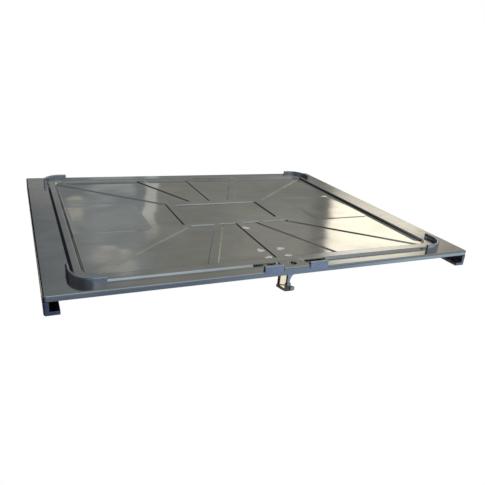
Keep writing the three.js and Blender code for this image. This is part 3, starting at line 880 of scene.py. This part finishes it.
def finish_material(nodes, colour, roughness, bumps, metallic=1.0):
    """bumps is a list of (height socket, strength, distance in metres)."""
    normal = None
    for height, strength, distance in bumps:
        inputs = {"Height": height, "Strength": strength, "Distance": distance}
        if normal is not None:
            inputs["Normal"] = normal
        normal = nodes.add("ShaderNodeBump", inputs).outputs[0]
    shader = nodes.add("ShaderNodeBsdfPrincipled", {
        "Base Color": colour, "Roughness": roughness, "Metallic": metallic, "Normal": normal,
    })
    nodes.add("ShaderNodeOutputMaterial", {"Surface": shader.outputs[0]})


# Plain steels: light colour, dark colour, roughness, and how fine the grain is along X, Y and Z.
STEELS = {
    # The channel's colour is dark and purple-blue: painted shade, and a painted blue reflection.
    "channel_steel_painted_shade": ((0.33, 0.32, 0.40), (0.22, 0.22, 0.29), 0.26, (60, 1, 60)),
    # The guards' colour is tinted blue: a painted blue reflection.
    "guard_steel_painted_reflection": ((0.66, 0.69, 0.74), (0.54, 0.57, 0.63), 0.20, (1, 1, 6)),
    "latch_steel_plated": ((0.82, 0.80, 0.74), (0.66, 0.64, 0.58), 0.20, (1, 30, 1)),
    "latch_steel_hook_painted_shade": ((0.84, 0.82, 0.76), (0.68, 0.66, 0.60), 0.20, (1, 30, 1)),
    "hardware_steel_bright": ((0.74, 0.73, 0.70), (0.56, 0.56, 0.54), 0.18, (1, 40, 40)),
    "spring_steel_wire": ((0.40, 0.40, 0.40), (0.22, 0.22, 0.23), 0.30, (1, 1, 1)),
}
# Where the hook's colour is painted near black as shade, in metres: from its left side's recess outwards,
# and at its push pad.
SHADE_EDGE_X = (-0.0027, -0.0024)
SHADE_PAD_Z = (0.0300, 0.0312)


def steel(name, painted_shade=False):
    """Steel with a fine grain along one direction, a cloudy tone and small scuffs. With the flag set, the
    hook's raised edges and its push pad get painted shade, near black, and the rest keeps the steel's
    colour."""
    light, dark, rough, grain = STEELS[name]
    material, n = new_material(name)
    place = n.add("ShaderNodeTexCoord").outputs["Object"]
    grain_noise = n.noise(place, 260, 4, grain)
    clouds = n.noise(place, 90, 4, (1, 1, 1), 0.6)
    scuffs = n.ramp(n.noise(place, 700, 5), 0.60, 0.72)
    tone = n.math("ADD", n.math("MULTIPLY", grain_noise, 0.5), n.math("MULTIPLY", clouds, 0.5))
    colour = n.mix(n.ramp(tone, 0.38, 0.62), rgb(*dark), rgb(*light))
    colour = n.mix(n.math("MULTIPLY", scuffs, 0.25), colour, rgb(0.8, 0.8, 0.78))
    patchy = n.math("ADD", n.math("MULTIPLY", grain_noise, 0.4), n.math("MULTIPLY", clouds, 0.6))
    roughness = n.ramp(patchy, 0.3, 0.7, rough * 0.75, rough * 1.35)
    if painted_shade:
        # Painted shade: the hook's raised edges and its push pad turn near black.
        parts = n.add("ShaderNodeSeparateXYZ", {0: place}).outputs
        edges = n.ramp(parts[0], *SHADE_EDGE_X, 1, 0)
        pad = n.ramp(parts[2], *SHADE_PAD_Z)
        colour = n.mix(n.math("MAXIMUM", edges, pad), colour, rgb(0.03, 0.03, 0.033))
    finish_material(n, colour, roughness, [(grain_noise, 0.02, 0.0002), (scuffs, 0.05, 0.0001)])
    return material


def cover_material():
    """Bright rolled sheet: brushed along the rim, cloudy, streaked, faintly scratched, with pale blotches
    that are part stain and part painted highlight.
    """
    material, n = new_material("cover_steel_sheet")
    place = n.add("ShaderNodeTexCoord").outputs["Object"]
    rim = n.add("ShaderNodeAttribute", attribute_name="rim").outputs["Fac"]
    side = n.add("ShaderNodeAttribute", attribute_name="side_rim").outputs["Fac"]
    worn = n.add("ShaderNodeAttribute", attribute_name="worn_rim").outputs["Fac"]
    stain_and_highlight = n.add("ShaderNodeAttribute", attribute_name="stain_and_highlight").outputs["Fac"]
    along_x = n.noise(place, 1, 5, (9, 900, 900))
    along_y = n.noise(place, 1, 5, (900, 9, 900))
    rim_grain = n.add("ShaderNodeMix", {0: side, 2: along_x, 3: along_y}, data_type="FLOAT").outputs[0]
    streaks = n.noise(place, 1, 4, (5, 160, 160))
    clouds = n.noise(place, 14, 4, (1, 1.3, 1), 0.8)
    smears = n.ramp(n.noise(place, 34, 5, (1, 1.8, 1), 1.2), 0.52, 0.68)
    scratches = n.ramp(n.noise(place, 1, 2, (22, 1500, 40), 0.15), 0.70, 0.76)
    broken = n.ramp(n.noise(place, 46, 4, (1, 1, 1), 1.0), 0.32, 0.62, 0.35, 1.0)
    stain_and_highlight_blotch = n.math("MULTIPLY", stain_and_highlight, broken)
    colour = n.mix(n.ramp(clouds, 0.35, 0.65), rgb(0.57, 0.57, 0.545), rgb(0.68, 0.675, 0.645))
    dulled = n.math("MULTIPLY", n.ramp(rim_grain, 0.38, 0.68), n.ramp(worn, 0, 1, 0.12, 0.35))
    colour = n.mix(dulled, colour, rgb(0.40, 0.39, 0.36))
    colour = n.mix(n.math("MULTIPLY", scratches, 0.3), colour, rgb(0.82, 0.82, 0.8))
    # Pale warm blotches: part stain, part painted highlight.
    colour = n.mix(n.math("MULTIPLY", stain_and_highlight_blotch, 0.9), colour, rgb(0.95, 0.88, 0.76))
    base = n.math("ADD", n.ramp(rim, 0, 1, 0.06, 0.11), n.math("MULTIPLY", worn, 0.07))
    cloudy = n.math("ADD", n.math("MULTIPLY", clouds, 0.5), n.math("MULTIPLY", streaks, 0.5))
    roughness = n.math("MULTIPLY", base, n.ramp(cloudy, 0.3, 0.7, 0.75, 1.25))
    roughness = n.math("ADD", roughness, n.math("MULTIPLY", smears, 0.03))
    roughness = n.math("ADD", roughness, n.math("MULTIPLY", stain_and_highlight_blotch, 0.12))
    finish_material(n, colour, roughness, [
        (rim_grain, 0.02, 0.0003),
        (streaks, 0.02, 0.0006),
        (scratches, 0.05, 0.0001),
    ])
    return material


def weld_material():
    """Patchy pale weld metal with a light tint of heat."""
    material, n = new_material("weld_metal_marks")
    place = n.add("ShaderNodeTexCoord").outputs["Object"]
    patches = n.ramp(n.noise(place, 420, 4, (1, 1, 1), 0.8), 0.40, 0.60)
    tint = n.noise(place, 130, 3)
    colour = n.mix(patches, rgb(0.62, 0.61, 0.58), rgb(0.97, 0.97, 0.94))
    colour = n.mix(n.ramp(tint, 0.55, 0.75, 0, 0.35), colour, rgb(0.62, 0.52, 0.40))
    roughness = n.ramp(patches, 0, 1, 0.38, 0.62)
    finish_material(n, colour, roughness, [(patches, 0.5, 0.0004), (tint, 0.3, 0.0006)], 0.3)
    return material


def rubber_material():
    """Black rubber with fine pores and dust."""
    material, n = new_material("seal_rubber_strip")
    place = n.add("ShaderNodeTexCoord").outputs["Object"]
    dust = n.noise(place, 60, 5, (1, 1, 1), 0.5)
    pores = n.noise(place, 1400, 2)
    colour = n.mix(n.ramp(dust, 0.45, 0.75, 0, 0.5), rgb(0.022, 0.022, 0.024), rgb(0.10, 0.097, 0.09))
    roughness = n.ramp(pores, 0.3, 0.7, 0.65, 0.9)
    finish_material(n, colour, roughness, [(pores, 0.3, 0.0002)], 0.0)
    return material


# ---- Camera, light and background ---------------------------------------------------------------

# The camera stands in front and to the left, and looks down on the cover.
CAMERA_PLACE = Vector((-0.3139, -0.7287, FLANGE_Z / 1000 + 0.2524))
CAMERA_AZIMUTH = math.radians(25.73)
CAMERA_DOWN = math.radians(21.13)
CAMERA_ROLL = math.radians(5.32)
CAMERA_LENS = 36.68
CAMERA_SENSOR = 36


def add_camera():
    """The camera at its place, turned by its azimuth, its downward angle and its roll."""
    data = bpy.data.cameras.new("camera")
    data.lens = CAMERA_LENS
    data.sensor_width = CAMERA_SENSOR
    camera = bpy.data.objects.new("camera", data)
    level = Vector((math.cos(CAMERA_AZIMUTH), -math.sin(CAMERA_AZIMUTH), 0))
    ahead = Vector((
        math.sin(CAMERA_AZIMUTH) * math.cos(CAMERA_DOWN),
        math.cos(CAMERA_AZIMUTH) * math.cos(CAMERA_DOWN),
        -math.sin(CAMERA_DOWN),
    ))
    above = level.cross(ahead)
    right = level * math.cos(CAMERA_ROLL) + above * math.sin(CAMERA_ROLL)
    up = right.cross(ahead)
    turn = Matrix((right, up, -ahead)).transposed()
    camera.matrix_world = Matrix.Translation(CAMERA_PLACE) @ turn.to_4x4()
    bpy.context.collection.objects.link(camera)
    bpy.context.scene.camera = camera


def add_floor():
    """A plain white floor, which the steel doesn't reflect."""
    bpy.ops.mesh.primitive_plane_add(size=14)
    floor = bpy.context.object
    floor.name = "floor"
    material, n = new_material("floor_white")
    glow = n.add("ShaderNodeEmission", {"Color": rgb(1, 1, 1), "Strength": 1.0})
    n.add("ShaderNodeOutputMaterial", {"Surface": glow.outputs[0]})
    floor.data.materials.append(material)
    floor.visible_glossy = False
    floor.visible_diffuse = False


# Soft boxes in the room that the steel reflects. Azimuth is right of +Y and elevation above the
# horizon, in degrees, each as (starts, full, full until, ends), then the colour added.
ROOM = [
    # The far wall: cool on the left, warmer to the right, with a pale slot and lighter patches.
    ((-14, 6, 33, 37), (3, 9, 90, 91), (0.18, 0.20, 0.215)),
    ((12, 16, 33, 37), (3, 9, 90, 91), (0.05, 0.035, -0.005)),
    ((21, 27, 33, 37), (15, 18.5, 22, 27), (0.06, 0.055, 0.045)),
    ((4, 8, 12, 15), (16, 18, 23, 27), (0.08, 0.08, 0.07)),
    ((13.5, 13.8, 14.9, 15.2), (4, 12, 18.5, 21.5), (0.27, 0.26, 0.24)),
    ((-6, -2, 3.4, 4.2), (14.1, 14.6, 15.6, 15.9), (0.20, 0.19, 0.165)),
    ((-6, -2, 3.6, 5), (16.0, 16.4, 17.2, 18.2), (0.05, 0.025, -0.03)),
    ((6.5, 8.5, 12, 13), (12, 13, 15.9, 16.6), (0.17, 0.17, 0.16)),
    ((4.6, 5.5, 6.2, 7.0), (17.1, 17.7, 18.6, 19.4), (0.22, 0.19, 0.12)),
    ((7.2, 8.8, 9.6, 11.0), (21.8, 22.6, 23.2, 24.2), (0.20, 0.16, 0.13)),
    ((10.2, 11.1, 11.8, 12.7), (23.8, 24.4, 25.0, 25.9), (0.27, 0.26, 0.16)),
    # The window on the right and the wall beyond it.
    ((35.4, 36.3, 45, 49), (13.7, 15.6, 20.2, 22.4), (1.20, 1.10, 0.90)),
    ((34, 38, 52, 62), (-4, 4, 90, 91), (0.36, 0.34, 0.30)),
    ((52, 62, 112, 125), (-4, 4, 90, 91), (0.31, 0.32, 0.31)),
    ((35, 37, 42, 47), (19.8, 22, 40, 55), (0.24, 0.32, 0.40)),
    # Daylight from behind the viewer, and the ground below it, brighter to the right.
    ((112, 126, 181, 182), (-4, 16, 46, 70), (0.29, 0.31, 0.32)),
    ((-182, -181, -172, -158), (-4, 16, 46, 70), (0.27, 0.29, 0.31)),
    ((112, 126, 181, 182), (30, 44, 52, 70), (0.14, 0.18, 0.25)),
    ((-182, -181, -172, -158), (30, 44, 52, 70), (0.12, 0.16, 0.23)),
    ((105, 125, 181, 182), (-91, -90, -8, 4), (0.13, 0.17, 0.25)),
    ((105, 125, 149, 163), (-91, -90, -8, 4), (0.10, 0.13, 0.19)),
    ((105, 125, 133, 143), (-91, -90, -8, 4), (0.24, 0.32, 0.31)),
    ((140, 165, 181, 182), (-22, -16, -6, 4), (0.10, 0.15, 0.18)),
    ((-182, -181, -140, -100), (-22, -16, -6, 4), (0.10, 0.15, 0.18)),
    ((-182, -181, -178, -95), (-91, -90, -8, 4), (0.12, 0.16, 0.25)),
    # A pale board low on the left, and a dim wall above it.
    ((-44, -38, -22, -16), (-60, -50, -14, -8), (1.2, 1.12, 0.94)),
    ((-165, -150, -44, -34), (2, 8, 90, 91), (0.045, 0.045, 0.05)),
    ((-182, -181, -175, -115), (8, 16, 24, 30), (0.15, 0.18, 0.21)),
    ((-128, -112, -74, -60), (0, 3, 9, 13), (0.20, 0.21, 0.22)),
    ((-128, -112, -14, 6), (38, 50, 90, 91), (0.20, 0.21, 0.22)),
    # Higher up behind the viewer.
    ((125, 140, 181, 182), (40, 56, 74, 84), (0.24, 0.32, 0.38)),
    ((-182, -181, -148, -134), (40, 56, 74, 84), (0.24, 0.32, 0.38)),
    ((-168, -158, -146, -134), (40, 56, 74, 84), (0.14, 0.13, 0.12)),
]


def add_room():
    """The world: white to the camera, and the room of soft boxes to everything else."""
    world = bpy.data.worlds.new("world")
    bpy.context.scene.world = world
    world.use_nodes = True
    n = Nodes(world.node_tree)
    direction = n.add("ShaderNodeTexCoord").outputs["Generated"]
    parts = n.add("ShaderNodeSeparateXYZ", {0: direction}).outputs
    azimuth = n.math("MULTIPLY", n.math("ARCTAN2", parts[0], parts[1]), math.degrees(1))
    elevation = n.math("MULTIPLY", n.math("ARCSINE", parts[2]), math.degrees(1))
    drift = n.ramp(n.noise(direction, 7, 2), 0.3, 0.7, -0.25, 0.25)
    azimuth = n.math("ADD", azimuth, drift)
    total = rgb(0.018, 0.018, 0.02)
    for azimuths, elevations, colour in ROOM:
        share = None
        for value, (a, b, c, d) in ((azimuth, azimuths), (elevation, elevations)):
            for part in (n.ramp(value, a, b, 0, 1, True), n.ramp(value, c, d, 1, 0, True)):
                share = part if share is None else n.math("MULTIPLY", share, part)
        total = n.mix(share, total, n.mix(1.0, total, rgb(*colour), "ADD"))
    seen = n.add("ShaderNodeLightPath").outputs["Is Camera Ray"]
    total = n.mix(seen, total, rgb(1, 1, 1))
    glow = n.add("ShaderNodeBackground", {"Color": total, "Strength": 1.0})
    n.add("ShaderNodeOutputWorld", {"Surface": glow.outputs[0]})


def add_top_light():
    """A wide soft panel over the cover, for the pieces that aren't mirrors."""
    data = bpy.data.lights.new("top_panel", "AREA")
    data.shape = "RECTANGLE"
    data.size = 1.8
    data.size_y = 1.2
    data.energy = 16
    data.color = (1.0, 0.985, 0.96)
    lamp = bpy.data.objects.new("top_panel", data)
    lamp.location = (0.1, -0.1, 1.7)
    lamp.visible_camera = False
    lamp.visible_glossy = False
    bpy.context.collection.objects.link(lamp)


# ---- Assembly -----------------------------------------------------------------------------------

def place(piece, node, slot, material, body="cover"):
    """Gives a piece its material and its body, and hides the CAD node that it stands for; slot is not used.
    """
    piece.data.materials.clear()
    piece.data.materials.append(material)
    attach(piece, body)
    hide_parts(node)


bpy.context.scene.view_settings.view_transform = "Standard"
add_camera()
add_floor()
add_room()
add_top_light()

channel_steel = steel("channel_steel_painted_shade")
guard_steel = steel("guard_steel_painted_reflection")
latch_steel = steel("latch_steel_plated")
hook_steel = steel("latch_steel_hook_painted_shade", painted_shade=True)
hardware_steel = steel("hardware_steel_bright")
spring_steel = steel("spring_steel_wire")

place(cover_sheet(), "cover_plate", "cover_steel", cover_material())
for side, hand in (("left", -1), ("right", 1)):
    node = "side_channel_" + side
    place(fine_copy(node, 1.0, 4, corner=3.0), node, "channel_steel", channel_steel)
    node = "latch_guard_" + side
    place(latch_guard(node, hand), node, "guard_steel", guard_steel)
    for end, way in (("front", -1), ("back", 1)):
        node = f"corner_guard_{end}_{side}"
        place(corner_guard(node, hand, way), node, "guard_steel", guard_steel)
    node = "spacer_" + side
    place(fine_copy(node, 0.3, 2), node, "hardware_steel", hardware_steel)
place(fine_copy("ridge_seal", 0.7), "ridge_seal", "seal_rubber", rubber_material())
place(fine_copy("latch_bracket", 0.35), "latch_bracket", "latch_steel", latch_steel)
place(fine_copy("latch_hook", 0.45), "latch_hook", "latch_steel", hook_steel, "hook")
for node, width in (("hook_pin", 0.35), ("pin_washer", 0.2), ("pin_clip", 0.2), ("stop_pin", 0.3)):
    place(fine_copy(node, width, 2), node, "hardware_steel", hardware_steel)
place(fine_copy("torsion_spring", 0.1, 2, 60), "torsion_spring", "spring_steel", spring_steel)
weld_metal = weld_material()
for number, spot in enumerate(WELDS, 1):
    place(weld_mark(number, spot, WELD_SEED + number), f"plug_weld_{number}", "weld_metal", weld_metal)
